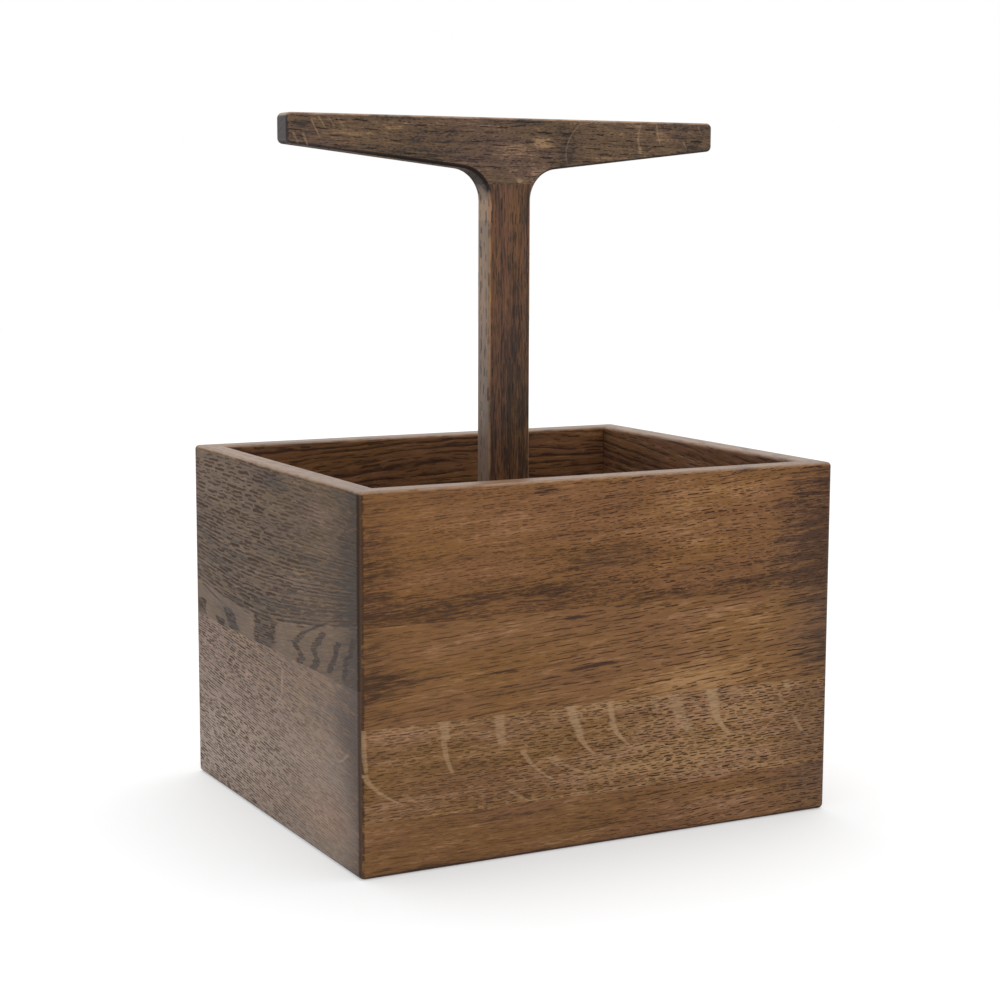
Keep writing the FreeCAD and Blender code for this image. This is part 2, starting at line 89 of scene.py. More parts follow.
# Ranges: where each starts and ends, and its shares there
DARK_TO_MIDDLE = (-0.05, 0.5)
MIDDLE_TO_LIGHT = (0.5, 1.05)
GOLDEN_TO_PURPLE = (0.36, 0.64)
SILVER_SHEEN_TAKES = (-0.7, -0.1)
GLUE_LINE = (0.2, 0.05, 0.0, 0.15)
MITRE_LINE = (0.35, 0.1, 0.0, 0.35)
UNSHADED_HALF = (-28.0, -16.0, 4.4, 3.0)  # half width of the crossbar's underside middle that the painted throat shade leaves out
THROAT_SHADE_EDGE = (0.0, 0.6)
THROAT_SHADE_END = (2.0, -2.0)

# Camera and lamp
SENSOR_WIDTH = 36.0  # in millimetres
CLIP_RANGE = (0.01, 50.0)
LAMP_DISTANCE = 2.0

# Depths of bumps, in metres
BEECH_FIBRES, TOOL_RINGS = 0.00004, 0.00003

# Sockets of the node groups; the others are plain numbers
VECTORS = ("Place", "Grain", "Centre", "Reach", "Along", "Into")
COLOURS = ("Tint", "Golden", "Purple", "Dark", "Middle", "Light", "Pore Colour",
           "Fleck Colour", "Silver Colour", "Worn Colour")
SOCKET_KINDS = {**dict.fromkeys(VECTORS, "Vector"),
                **dict.fromkeys((*COLOURS, "Color"), "Color")}


# Node kit


class Wire:
    """A value in a node tree. Sums of wires add the nodes that work them out."""

    def __init__(self, kit, socket):
        self.kit = kit
        self.socket = socket

    def work(self, operation, *values):
        """One step on plain numbers or, for a vector or a colour, on each of its parts."""
        plain = self.socket.type == "VALUE"
        return (self.kit.math if plain else self.kit.vector)(operation, *values)

    def __add__(self, other):
        return self.work("ADD", self, other)

    def __sub__(self, other):
        return self.work("SUBTRACT", self, other)

    def __rsub__(self, other):
        return self.work("SUBTRACT", other, self)

    def __mul__(self, other):
        return self.work("MULTIPLY", self, other)

    def __truediv__(self, other):
        return self.work("DIVIDE", self, other)

    def __abs__(self):
        return self.work("ABSOLUTE", self)

    __radd__ = __add__
    __rmul__ = __mul__


class NodeKit:
    """Adds nodes to one tree. An input is given as a number, a tuple, a socket or a wire."""

    def __init__(self, tree):
        self.tree = tree

    def feed(self, socket, value):
        value = getattr(value, "socket", value)
        if isinstance(value, bpy.types.NodeSocket):
            self.tree.links.new(value, socket)
        else:
            socket.default_value = value

    def add(self, kind, inputs=None, **settings):
        """Adds a shader node of that kind."""
        node = self.tree.nodes.new("ShaderNode" + kind)
        for name, value in settings.items():
            setattr(node, name, value)
        for key, value in (inputs or {}).items():
            self.feed(node.inputs[key], value)
        return node

    def wire(self, kind, inputs=None, output=0, **settings):
        """Adds a node and gives one of its outputs."""
        return Wire(self, self.add(kind, inputs, **settings).outputs[output])

    def math(self, operation, *values):
        return self.wire("Math", dict(enumerate(values)), operation=operation)

    def vector(self, operation, *values):
        output = "Value" if operation in ("LENGTH", "DOT_PRODUCT") else "Vector"
        return self.wire("VectorMath", dict(enumerate(values)), output, operation=operation)

    def scaled(self, vector, factor):
        return self.wire("VectorMath", {0: vector, "Scale": factor}, operation="SCALE")

    def most(self, greatest, *others):
        """The greatest of the values."""
        for other in others:
            greatest = self.math("MAXIMUM", greatest, other)
        return greatest

    def split(self, vector):
        node = self.add("SeparateXYZ", {0: vector})
        return [Wire(self, socket) for socket in node.outputs]

    def join(self, x, y, z):
        return self.wire("CombineXYZ", {0: x, 1: y, 2: z})

    def smooth(self, value, low, high, start=0.0, end=1.0):
        """Goes softly from start at low to end at high; low may be the greater."""
        return self.wire("MapRange", {0: value, 1: low, 2: high, 3: start, 4: end},
                         interpolation_type="SMOOTHSTEP")

    def noise(self, place, detail=2.0, roughness=0.5, output="Fac"):
        return self.wire("TexNoise", {"Vector": place, "Scale": 1.0, "Detail": detail,
                                      "Roughness": roughness}, output)

    def swing(self, place, detail=2.0, roughness=0.5):
        """Noise that swings about nought."""
        return self.noise(place, detail, roughness) - NOISE_MIDDLE

    def random(self, place):
        """Three random shares for each place in a grid of whole numbers."""
        return self.split(self.wire("TexWhiteNoise", {"Vector": place}, "Color"))

    def blend(self, share, a, b):
        """Mixes two colours."""
        return self.wire("Mix", {0: share, 6: a, 7: b}, 2, data_type="RGBA")

    def group(self, tree, **inputs):
        """A group's outputs by name. An underscore stands for a space in an input's name."""
        spaced = {name.replace("_", " "): value for name, value in inputs.items()}
        node = self.add("Group", spaced, node_tree=tree)
        return {socket.name: Wire(self, socket) for socket in node.outputs}

    def surface(self, height, depth, inputs):
        """Ends a material with a shader that has bumps of that height and depth."""
        bump = self.wire("Bump", {"Strength": 1.0, "Distance": depth, "Height": height})
        shader = self.wire("BsdfPrincipled", {**inputs, "Normal": bump})
        self.add("OutputMaterial", {"Surface": shader})


class GroupKit(NodeKit):
    """Builds one shader node group."""

    def give(self, **results):
        """Feeds the group's outputs and returns its tree."""
        ending = self.tree.nodes.new("NodeGroupOutput")
        for name, value in results.items():
            self.feed(ending.inputs[name.replace("_", " ")], value)
        return self.tree


def new_group(name, inputs, outputs):
    kit = GroupKit(bpy.data.node_groups.new(name, "ShaderNodeTree"))
    for way, names in (("INPUT", inputs), ("OUTPUT", outputs)):
        for socket in names:
            kind = "NodeSocket" + SOCKET_KINDS.get(socket, "Float")
            kit.tree.interface.new_socket(socket, in_out=way, socket_type=kind)
    entry = kit.tree.nodes.new("NodeGroupInput")
    return kit, {socket.name: Wire(kit, socket) for socket in entry.outputs if socket.name}


# Oak figure, in millimetres: u along the grain, v across it on the face, w into the wood


def grain_space_group():
    """Bends straight wood into the board's own grain: its rise, its bow and its wander."""
    kit, given = new_group(
        "grain_space",
        ("Place", "Rise", "Bow", "Bow Centre", "Bow Foot", "Bow Top", "Wander", "Ripple", "Seed"),
        ("Grain", "Level"))
    u, v, w = kit.split(given["Place"])
    off_centre = u - given["Bow Centre"]
    bow = given["Bow"] * (off_centre * off_centre)
    bow = bow * kit.smooth(v, given["Bow Top"], given["Bow Foot"])
    straight = v - given["Rise"] * u - bow
    laid = kit.join(u, straight, w) + kit.scaled(SEED_STEP, given["Seed"])
    middle = (NOISE_MIDDLE,) * 3
    slow = kit.noise(laid * SLOW_WANDER, 1.0, output="Color") - middle
    quick = kit.noise(laid * QUICK_WANDER, 1.0, output="Color") - middle
    push = (slow + quick * QUICK_SHARE) * WANDER_REACH
    ripple = kit.swing(laid * RIPPLES, 1.0) * given["Ripple"]
    grain = laid + push * kit.join(*[given["Wander"]] * 3) + kit.join(0.0, ripple, 0.0)
    level = kit.split(grain)[1] - given["Seed"] * SEED_STEP[1]
    return kit.give(Grain=grain, Level=level)


def growth_rings_group():
    """Early wood of the growth rings, 1 in the porous rows and 0 in the dense late wood."""
    kit, given = new_group("growth_rings", ("Grain", "Spacing", "Slant"), ("Early",))
    _, v, w = kit.split(given["Grain"])
    across = (v + w * given["Slant"]) / given["Spacing"]
    uneven = kit.noise(kit.join(0.0, across * UNEVEN_RINGS, 0.0), 1.0)
    ramp = kit.add("ValToRGB", {0: kit.math("FRACT", across + uneven)})
    stops = ramp.color_ramp.elements
    while len(stops) < len(RING_PROFILE):
        stops.new(1.0)
    for stop, (place, value) in zip(stops, RING_PROFILE):
        stop.position = place
        stop.color = (value, value, value, 1.0)
    patchy = kit.smooth(kit.noise(given["Grain"] * RING_PATCHES, 1.0), 0.3, 0.6, 0.3, 1.1)
    return kit.give(Early=kit.math("MULTIPLY", ramp.outputs[0], patchy))


def tone_patch_group():
    """Adds one soft spot or streak, lighter or darker, to the tone: mostly the wood's own tone,
    some of them painted shade and painted highlights.
    """
    kit, given = new_group(
        "tone_patch", ("Place", "Centre", "Reach", "Rise", "Amount", "Tone"), ("Tone",))
    du, dv, _ = kit.split(given["Place"] - given["Centre"])
    along, across, _ = kit.split(given["Reach"])
    shape = kit.join(du / along, (dv - du * given["Rise"]) / across, 0.0)
    spot = kit.smooth(kit.vector("LENGTH", shape), 1.0, 0.1)
    return kit.give(Tone=given["Tone"] + spot * given["Amount"])


def stroke_group():
    """Adds one curved, tapering stroke, such as a ray fleck, to a mask."""
    kit, given = new_group(
        "stroke",
        ("Place", "Top", "Bottom", "Start", "Lean", "Curve", "Half Width", "Taper", "Strength",
         "Mask"),
        ("Mask",))
    u, v, _ = kit.split(given["Place"])
    down = (given["Top"] - v) / (given["Top"] - given["Bottom"])
    inside = kit.smooth(down, -0.03, 0.06) * kit.smooth(down, 1.05, 0.8)
    middle = given["Start"] + (given["Lean"] * down + given["Curve"] * (down * down))
    half = given["Half Width"] * (1.0 - given["Taper"] * down)
    body = kit.smooth(abs(u - middle) / half, 1.3, 0.45)
    return kit.give(Mask=kit.most(given["Mask"], inside * body * given["Strength"]))


def vessel_rows_group():
    """Vessels cut lengthwise as thin dark dashes, row by row along the growth rings.

    Every row is cut into cells, and a cell holds at most one vessel, placed by chance.
    """
    kit, given = new_group(
        "vessel_rows",
        ("Grain", "Length", "Gap", "Amount", "Thickness", "Bend", "Jitter", "Cover"),
        ("Lines",))
    grain = given["Grain"]
    u, v, w = kit.split(grain)
    level = (v + w * ROW_SLANT) / given["Gap"]
    level = level + kit.noise(grain * ROW_WOBBLE, 1.0) * ROW_WOBBLE_REACH
    row = kit.math("FLOOR", level)
    start, _, _ = kit.random(kit.join(row, ROW_SALT, 0.0))
    reach = u / given["Length"] + start * ROW_SHIFT
    cell = kit.math("FLOOR", reach)
    shift, long, side = kit.random(kit.join(row, cell, PLACE_SALT))
    chance, thick, deep = kit.random(kit.join(row, cell, SIZE_SALT))
    layer = kit.math("FRACT", w * LAYERS + deep * LAYER_SHIFT)
    du = kit.math("FRACT", reach) - (CELL_MIDDLE + (shift - CELL_MIDDLE) * PLACE_SPREAD)
    dv = kit.math("FRACT", level) - (CELL_MIDDLE + (side - CELL_MIDDLE) * given["Jitter"])
    dv = dv + kit.swing(grain * VESSEL_BENDS, 1.0) * given["Bend"]
    thickness = given["Thickness"] * (THINNEST + (thick * SPREAD + long * SPREAD))
    thickness = thickness * kit.smooth(abs(layer - CELL_MIDDLE), 0.5, 0.3)
    ends = kit.smooth(abs(du) / (given["Cover"] + long * COVER_SPREAD), 1.05, 0.65)
    body = ends * kit.smooth(abs(dv), thickness * 1.15, thickness * 0.75)
    there = kit.smooth(given["Amount"] - chance, -0.02, 0.05)
    return kit.give(Lines=body * there * (PALEST + thick * SPREAD))


def oak_surface_group():
    """Puts rings, pores, flecks, tone and wear together as colour, roughness and height."""
    kit, given = new_group(
        "oak_surface",
        ("Grain", "Early", "Ring Strength", "Pores", "Tone", "Streaks", "Mottle", "Fibres",
         "Speckle", "Fleck", "Silver", "Wear", "Joint", "Gloss", *COLOURS),
        ("Color", "Roughness", "Height"))
    grain, early, fleck = given["Grain"], given["Early"], given["Fleck"]
    fibre = kit.swing(grain * FIBRES, 2.0, 0.65)
    sway = kit.swing(grain * STREAKS, 3.0, 0.6) * 2.0 + kit.swing(grain * BLOTCHES) * 1.2
    tone = 0.5 + given["Tone"] + sway * given["Streaks"] + fibre * given["Fibres"]
    tone = tone + kit.swing(grain * MOTTLE, 3.0, 0.7) * given["Mottle"]
    tone = tone + kit.swing(grain * SPECKLES, 2.0, 0.6) * given["Speckle"]
    tone = tone - early * given["Ring Strength"]
    low = kit.blend(kit.smooth(tone, *DARK_TO_MIDDLE), given["Dark"], given["Middle"])
    wood = kit.blend(kit.smooth(tone, *MIDDLE_TO_LIGHT), low, given["Light"])
    hue = kit.smooth(kit.noise(grain * HUE_DRIFT), *GOLDEN_TO_PURPLE)
    wood = wood * kit.blend(hue, given["Golden"], given["Purple"])
    wood = kit.blend(fleck, wood, given["Fleck Colour"]) * given["Tint"]
    pores = given["Pores"] * (1.0 - fleck * 0.95)
    # Silver is a painted sheen of pale grey over the wood
    for share, top_coat in ((given["Silver"], "Silver Colour"), (pores, "Pore Colour"),
                            (given["Wear"], "Worn Colour"), (given["Joint"], "Pore Colour")):
        wood = kit.blend(share, wood, given[top_coat])
    rough = given["Gloss"] + fibre * 0.15 + pores * 0.25 - fleck * 0.05
    # The dark lines share holds glue lines, mitre lines and the painted shade under the
    # crossbar's throat
    height = fibre * 0.25 - pores - early * 0.12 + fleck * 0.08 - given["Joint"] * 0.7
    return kit.give(Color=wood, Roughness=kit.most(rough, LEAST_ROUGHNESS), Height=height)


def facing_group():
    """Which of the board's faces this is: its face, its end grain, the upper or the lower side.

    Arris is where the upward rounded edges lie, broken up as handling wears them; it takes rubbed
    wear and a painted highlight. Down and Lower Arris take painted shade, and Upright Arris takes
    painted shade, and on the post a painted highlight instead.
    """
    kit, given = new_group(
        "facing", ("Place", "Along", "Into"),
        ("Face", "End", "Up", "Down", "Under", "Arris", "Upright Arris", "Lower Arris"))
    normal = kit.wire("NewGeometry", output="Normal")
    size = abs(normal)
    x, y, z = kit.split(size)
    upright = kit.split(normal)[Z]
    edge = kit.smooth(kit.most(x, y, z), 0.985, 0.85)
    worn = edge * kit.smooth(kit.noise(given["Place"] * HANDLING, 3.0, 0.6), 0.3, 0.62)
    return kit.give(
        Face=kit.smooth(kit.vector("DOT_PRODUCT", size, given["Into"]), 0.5, 0.9),
        End=kit.smooth(kit.vector("DOT_PRODUCT", size, given["Along"]), 0.6, 0.9),
        Up=kit.smooth(upright, 0.4, 0.9),
        Down=kit.smooth(upright, -0.25, -0.85),
        Under=kit.smooth(upright, -0.03, -0.12),
        Arris=worn * kit.smooth(upright, 0.15, 0.5),
        Upright_Arris=worn * (1.0 - kit.smooth(z, 0.1, 0.4)),
        Lower_Arris=edge * kit.smooth(upright, -0.15, -0.4))


GROUPS = {}


def oak_groups():
    """The node groups of the oak, made once."""
    if not GROUPS:
        GROUPS.update(
            grain=grain_space_group(), rings=growth_rings_group(), lines=vessel_rows_group(),
            patch=tone_patch_group(), stroke=stroke_group(), surface=oak_surface_group(),
            facing=facing_group())
    return GROUPS


# Boards


@dataclass
class Board:
    """How one board was cut and what its face shows.

    Places and lengths are in millimetres. A range is where it starts and ends, and its
    shares there. A patch is its place along and across the board, its reach both ways, its
    strength and its slope. A stroke is its top and bottom, its start, lean and curve, and
    its half width, taper and strength. A layer of vessels is their length, the gap between
    their rows, how many there are, how thick and how dark.
    """

    along: int
    across: int
    into: int
    seed: float = 0.0
    rise: float = 0.0  # slope of the grain
    bow: tuple = (0.0, 0.0, 0.0, 1.0)  # bend, its centre, and where it is full and nil
    wander: float = 1.0
    ripple: float = 0.4
    rings: tuple = (6.0, 0.5, 0.2)  # spacing, slant and strength
    ring_fade: tuple = ()  # range across
    pores: tuple = ((9.0, 2.2, 0.7, 0.16, 0.8), (5.0, 1.5, 0.5, 0.16, 0.6))  # layers of vessels
    open_from: tuple = (0.0, 1.0, 1.0, 1.0)  # range along
    follow_rings: float = 0.3
    bend: float = 0.25  # how far a vessel bends, strays from its row and fills its cell
    jitter: float = 0.5
    cover: float = 0.18
    tone: float = 0.0
    tint: tuple = (1.0, 1.0, 1.0)
    hue: float = 1.0
    streaks: float = 0.4
    fibres: float = 1.2
    mottle: float = 0.25
    speckle: float = 0.15
    patches: tuple = ()
    flecks: tuple = ()  # strokes
    silver_sheen: tuple = (0.0, 1.0, 0.0, 0.0)  # range across of the painted sheen
    silver_sheen_patches: tuple = ()
    side_silver_sheen: float = 0.35
    side_sheen_fade: tuple = (0.0, 1.0, 1.0, 1.0)  # range along; on the post it fades the side sheen out below the crossbar, a painted shade
    # Wear is rubbed wear with a painted highlight on the upward arrises, and on the upright ones
    # by the upright share; the worn tint colours that highlight
    wear_and_highlight: float = 1.0
    upright_wear_highlight: float = 0.0
    worn_highlight_tint: tuple = (1.0, 1.0, 1.0)
    under_shade: float = 0.6  # painted shade: how dark the lower side, the lower arris and the corners are
    lower_shade: float = 0.2
    corner_shade: float = 0.8
    throat_shade: tuple = ()  # from, to, foot and top of painted shade on the lower sides beside the left throat
    calm_below: float = 0.0  # level that a band without rings lies below, if any
    calm_silver_sheen: float = 0.0
    hatches: tuple = ()  # strokes full of vessels in that band
    hatch_pores: tuple = (13.0, 1.2, 1.8, 0.38, 1.0)
    ior: float = OIL_IOR


BOARDS = {
    "front_rim_board": Board(
        X, Z, Y, rise=0.05, wander=1.1, seed=1, rings=(7.5, 0.5, 0.12), ior=1.2,
        pores=((7.5, 1.7, 0.85, 0.115, 1), (3.6, 1.1, 0.8, 0.14, 0.9)), streaks=0.3,
        open_from=(-110, 60, 0.6, 1.1), tint=(1.02, 1.03, 1.08),
        speckle=0.25, silver_sheen_patches=((114, 120, 44, 46, 0.08),),
        patches=(
            (122, 128, 50, 60, -0.48), (-122, 130, 34, 52, -0.3), (50, 134, 22, 12, 0.15),
            (32, 145, 24, 26, 0.15), (122, 160, 22, 12, -0.15), (-60, 115, 105, 12, -0.3, 0.04),
            (20, 109, 150, 9, -0.2, 0.02), (-5, 130, 56, 9, -0.3), (62, 152, 46, 16, 0.2),
            (-50, 112, 26, 9, 0.14), (70, 114, 50, 8, -0.1), (-60, 148, 70, 10, 0.12),
            (60, 118, 70, 9, -0.06), (108, 151.2, 15, 1.1, -1.4, -0.02),
            (72, 163.8, 12, 2.5, -0.5), (-32, 161, 9, 3.5, -0.35))),
    "front_upper_board": Board(
        X, Z, Y, rise=0.062, wander=0.8, seed=2, rings=(6, 0.5, 0.12), ior=1.2,
        pores=((18, 2.2, 0.95, 0.1, 1), (8, 1.5, 0.65, 0.12, 0.9)), streaks=0.3,
        open_from=(-110, 60, 0.6, 1.1), follow_rings=0.15,
        tint=(1, 1.05, 1.14), tone=0.03, silver_sheen_patches=((118, 86, 40, 40, 0.08),),
        patches=(
            (-8, 81.5, 24, 1.3, -0.9, 0.06), (-52, 83.5, 14, 1, -0.6, 0.06),
            (-105, 85, 34, 9, -0.2), (0, 70, 75, 5, 0.15, 0.02), (124, 88, 46, 44, -0.36),
            (60, 92, 50, 16, 0.08), (-18, 104, 8, 1.2, -0.8, 0.06), (60, 100, 40, 5, 0.15, 0.04),
            (-124, 86, 34, 44, -0.28), (124, 70, 40, 16, -0.1), (-30, 74, 60, 12, -0.12),
            (50, 70, 56, 16, 0.3))),
    "front_ray_board": Board(
        X, Z, Y, rise=0.012, wander=0.4, seed=3, rings=(9, 0.5, 0.1), ior=1.2, bend=0.15,
        pores=((6.5, 1.35, 1.15, 0.17, 1), (4.5, 1.05, 0.85, 0.17, 0.95)), streaks=0.25,
        open_from=(-110, 60, 0.75, 1.1),
        follow_rings=0.05, tint=(0.96, 1.06, 1.2), tone=0.32, mottle=0.35,
        silver_sheen_patches=((118, 44, 40, 40, 0.1),),
        patches=(
            (126, 44, 46, 44, -0.5), (-80, 42, 90, 30, -0.26), (-10, 25, 150, 5, -0.12),
            (-10, 52, 56, 16, -0.14), (45, 33, 60, 12, 0.14), (-122, 46, 16, 30, -0.25)),
        flecks=(
            (66, 45, -119, 1, 1, 1.8, 0.5, 0.75), (46, 30, -118, 4, 15, 1.7, 0.55, 0.75),
            (65.5, 55, -81, 0, 1, 2.7, 0.3, 0.8), (57, 40, -81, 0, 5, 1.7, 0.5, 0.7),
            (65.5, 50, -54.5, 0, 2, 3, 0.3, 0.75), (48, 31, -43, 6, 12, 1.8, 0.6, 0.7),
            (65.5, 50, -19, 2, 4, 3.1, 0.25, 0.95), (53, 41, -15, 2, 7, 2.2, 0.6, 0.85),
            (43, 30, -28, 12, 16, 2, 0.5, 0.5), (65.5, 54, 1, 1, 1, 1.8, 0.2, 0.85),
            (56, 42, 2, 3, 8, 2, 0.6, 0.85), (65.5, 56, 24, 0, 1, 2.6, 0.3, 0.5),
            (65.5, 44, 34, 4, 7, 4.4, 0.4, 0.6), (65.5, 53, 54.5, 1, 2, 3.8, 0.25, 1),
            (55, 41, 56.5, 3, 7, 2.6, 0.6, 0.9), (65.5, 60.5, 96, 0, 1, 2.4, 0.3, 0.65),
            (47, 36, 101, 3, 6, 1.5, 0.5, 0.6), (30, 24, -48, 5, 5, 1.8, 0.6, 0.6),
            (48, 38, 13, 3, 6, 1.6, 0.5, 0.4), (44, 34, -30, 4, 8, 1.4, 0.5, 0.45),
            (36, 27, -100, 6, 8, 1.4, 0.5, 0.4))),
    "front_base_board": Board(
        X, Z, Y, rise=0.015, wander=1.6, seed=4, rings=(5.5, 0.5, 0.15), ior=1.2,
        pores=((8, 1.6, 0.9, 0.13, 1), (4.5, 1.15, 0.75, 0.15, 0.9)), streaks=0.35,
        open_from=(-60, 100, 0.5, 1.1), tint=(1, 1.06, 1.28), tone=0.03,
        silver_sheen_patches=((118, 10, 40, 40, 0.1),),
        patches=(
            # The first patch is painted shade along the bottom, by the floor
            (0, 0, 200, 4, -0.2), (120, 12, 40, 34, -0.26), (50, 12, 40, 30, 0.1),
            (-70, 20, 70, 4, -0.18, -0.02), (20, 19, 50, 4, -0.12), (-20, 6, 90, 5, 0.1),
            (80, 10, 60, 9, 0.08))),
    "left_rim_board": Board(
        Y, Z, X, bow=(0.0011, 26, 92, 150), wander=0.8, ripple=1.1, seed=5, ior=1.18,
        rings=(2.3, 0.2, 0.75), ring_fade=(150, 112),
        pores=((16, 1.85, 1.4, 0.28, 1), (6, 1.3, 0.5, 0.22, 1)), bend=0.15, cover=0.26,
        jitter=0.15, follow_rings=0.1, fibres=1.8, streaks=0.3, tone=0.05,
        open_from=(-100, 40, 0.45, 1), side_silver_sheen=0.5, tint=(0.5, 0.6, 0.76),
        # the calm band gets a little painted sheen
        calm_below=94.4, calm_silver_sheen=0.08,
        patches=(
            (-114, 125, 54, 140, -0.72), (-70, 86, 60, 16, -0.15), (-20, 113, 90, 13, 0.14),
            (52, 88, 30, 14, -0.25), (76, 94.5, 17, 0.9, -1.2, 0.18),
            (38, 95.8, 30, 0.9, -1.1, 0.08), (-50, 99.3, 26, 0.9, -1.2, -0.34),
            (-28, 98.6, 20, 0.8, -1, -0.14), (-84, 111.5, 14, 0.8, -0.9, -0.32),
            (-40, 160, 90, 14, -0.12), (0, 158, 32, 9, -0.3), (80, 118, 26, 16, -0.15),
            (-60, 152, 26, 7, 0.2), (70, 147, 26, 4, 0.15)),
        hatches=(
            (90, 81.5, 91, 0, 0, 6, 0.1, 0.9), (91, 81, 56, -11, 0, 6, -0.3, 1),
            (84.5, 80.5, 66, -3, 0, 6, 0.1, 0.8), (95, 80, 5.6, 3, 0, 14.5, 0.1, 1),
            (96.5, 89.5, -41, 12, 0, 3.4, 0, 1), (90, 84.5, -28.5, -9, 0, 3.8, 0, 1),
            (85, 80.5, -37.5, 5, 0, 4.2, 0, 1), (100, 91, -63, 12, 0, 3.3, 0, 1),
            (91.5, 86, -51, -3, 0, 3.6, 0, 1), (86.5, 80.5, -54, 5, 0, 3.8, 0, 1),
            (98.5, 90.5, -78, 4, 0, 3, 0, 0.95), (91, 82.5, -74, 8, 0, 3.2, 0.2, 0.95),
            (103, 92, -94.5, 7, 0, 2.6, 0, 0.9), (92.5, 82.5, -87, 5, 0, 2.8, 0.2, 0.9))),
    "left_lower_board": Board(
        Y, Z, X, rise=0.08, wander=0.8, seed=6, rings=(8, 0.5, 0.1), ior=1.24,
        ripple=0.1, bend=0.05, jitter=0.1, cover=0.3, fibres=2,
        pores=((8, 1.25, 1.5, 0.27, 1), (5, 1.2, 0.35, 0.2, 1)),
        streaks=0.35, tone=0.12,
        open_from=(-100, 50, 0.35, 1), follow_rings=0.05, side_silver_sheen=0.5,
        # painted reflection of the floor: the pale sheen grows towards the bottom of the board,
        # in patches
        tint=(0.84, 0.95, 1.36), silver_sheen=(82, 16, 0.2, 0.68),
        silver_sheen_patches=((-66, 20, 46, 18, -0.4), (-10, 14, 40, 12, -0.15),
                        (75, 16, 60, 26, 0.16)),
        patches=(
            (-114, 41, 60, 160, -0.76), (0, 76, 160, 28, -0.2), (-66, 20, 46, 16, 0.32),
            (60, 18, 90, 30, 0.5), (-70, 60, 60, 26, -0.15), (0, -2, 160, 14, -0.22)),
        flecks=(
            (75, 62, -14, 0, 1, 1.5, 0.3, 0.6), (63, 52, -13, 6, 8, 1.5, 0.6, 0.55),
            (52, 46, -87, 4, 6, 1.5, 0.4, 0.5))),
    "right_rim_board": Board(
        Y, Z, X, rise=0.10, wander=1.6, seed=7, rings=(4, 0.3, 0.45), corner_shade=0.3,
        pores=((10, 2.2, 0.8, 0.16, 0.8), (6, 1.6, 0.4, 0.16, 0.6)), tint=(0.92, 0.98, 1.4)),
    "right_lower_board": Board(
        Y, Z, X, rise=-0.03, wander=1.2, seed=8, rings=(7, 0.5, 0.18), corner_shade=0.3,
        pores=((6, 1.9, 0.8, 0.17, 0.8), (4, 1.4, 0.4, 0.16, 0.6)), tone=0.05),
    "back_rim_board": Board(
        X, Z, Y, rise=0.03, wander=3.2, seed=9, rings=(3.6, 0.25, 0.6), corner_shade=0.3,
        pores=((13, 2.2, 0.8, 0.18, 0.85), (7, 1.6, 0.4, 0.16, 0.6)), tint=(1.02, 1.04, 1.3)),
    "back_middle_board": Board(
        X, Z, Y, rise=-0.035, wander=1.3, seed=10, rings=(6.5, 0.5, 0.2), corner_shade=0.3,
        pores=((8, 2.1, 0.8, 0.16, 0.8), (5, 1.5, 0.4, 0.16, 0.6)), tone=0.05),
    "back_base_board": Board(
        X, Z, Y, rise=0.01, wander=0.7, seed=11, rings=(8.5, 0.5, 0.12), corner_shade=0.3,
        pores=((4.6, 1.5, 1, 0.18, 0.9), (3.4, 1.2, 0.4, 0.17, 0.7)), tone=0.1,
        flecks=(
            (51, 40, -80, 2, 4, 2.4, 0.5, 0.7), (47, 30, -30, 4, 8, 2, 0.6, 0.6),
            (51, 38, 22, 3, 6, 3, 0.5, 0.7), (42, 26, 66, 4, 7, 1.8, 0.6, 0.6))),
    "handle_crossbar": Board(
        X, Z, Y, rise=-0.01, wander=1.8, seed=12, rings=(4.2, 0.5, 0.12),
        pores=((10, 2.5, 0.75, 0.11, 1), (2.6, 1, 0.6, 0.17, 0.8)), streaks=0.4, ior=1.2,
        mottle=0.8, speckle=0.9, hue=0.8, tint=(0.88, 1, 1.22), under_shade=0.25, bend=0.4,
        lower_shade=0.6, corner_shade=0.4, side_silver_sheen=0, wear_and_highlight=1.8,
        # painted shade on the lower side beside the left throat
        throat_shade=(-90, -60, 280, 281),
        patches=(
            (-42, 311, 24, 11, -0.3), (-78, 314, 22, 4, 0.2, 0.02), (-88, 310, 30, 10, -0.12),
            (17, 311.5, 8.5, 4, 0.75), (2, 308, 16, 5, 0.35), (31, 311, 9, 13, -0.3),
            (27, 303, 8, 6, -0.2), (5, 321.2, 34, 2.4, -0.4), (-60, 321.2, 40, 1.8, -0.25),
            (5, 293.7, 1.9, 1.3, 1.2), (70.5, 309, 2.2, 3.5, 0.6), (100, 315, 18, 12, -0.2),
            (60, 314, 16, 5, 0.15), (-106, 316, 9, 9, -0.15)),
        flecks=(
            (314, 308.8, -109, 2, 0.7, 0.7, 0.3, 0.5),
            (313.7, 308, -104.4, 2, 0.6, 0.7, 0.3, 0.55),
            (320, 312.2, -100.3, 3, 1.2, 0.55, 0.3, 0.6),
            (321.2, 315.6, -96.8, 3, 0.8, 0.5, 0.3, 0.55),
            (321, 316.5, -92, 2.6, 0.7, 0.5, 0.3, 0.45),
            (320.8, 316.3, -87.4, 2.4, 0.7, 0.5, 0.3, 0.4),
            (321, 301, 37.6, -21.8, 15.1, 0.45, 0.2, 0.42),
            (322, 306.5, 71.6, -8, 8.3, 0.6, 0, 0.45),
            (321.5, 311, 79.9, 1.5, 0.9, 0.5, 0.2, 0.52), (314, 310, 95.3, 1, 1, 0.5, 0.3, 0.52),
            (321, 317, 103.9, 1, 0.6, 0.4, 0.2, 0.45))),
    "handle_post": Board(
        Z, X, Y, wander=0.6, seed=13, rings=(3.4, 0.35, 0.2), upright_wear_highlight=1.6,
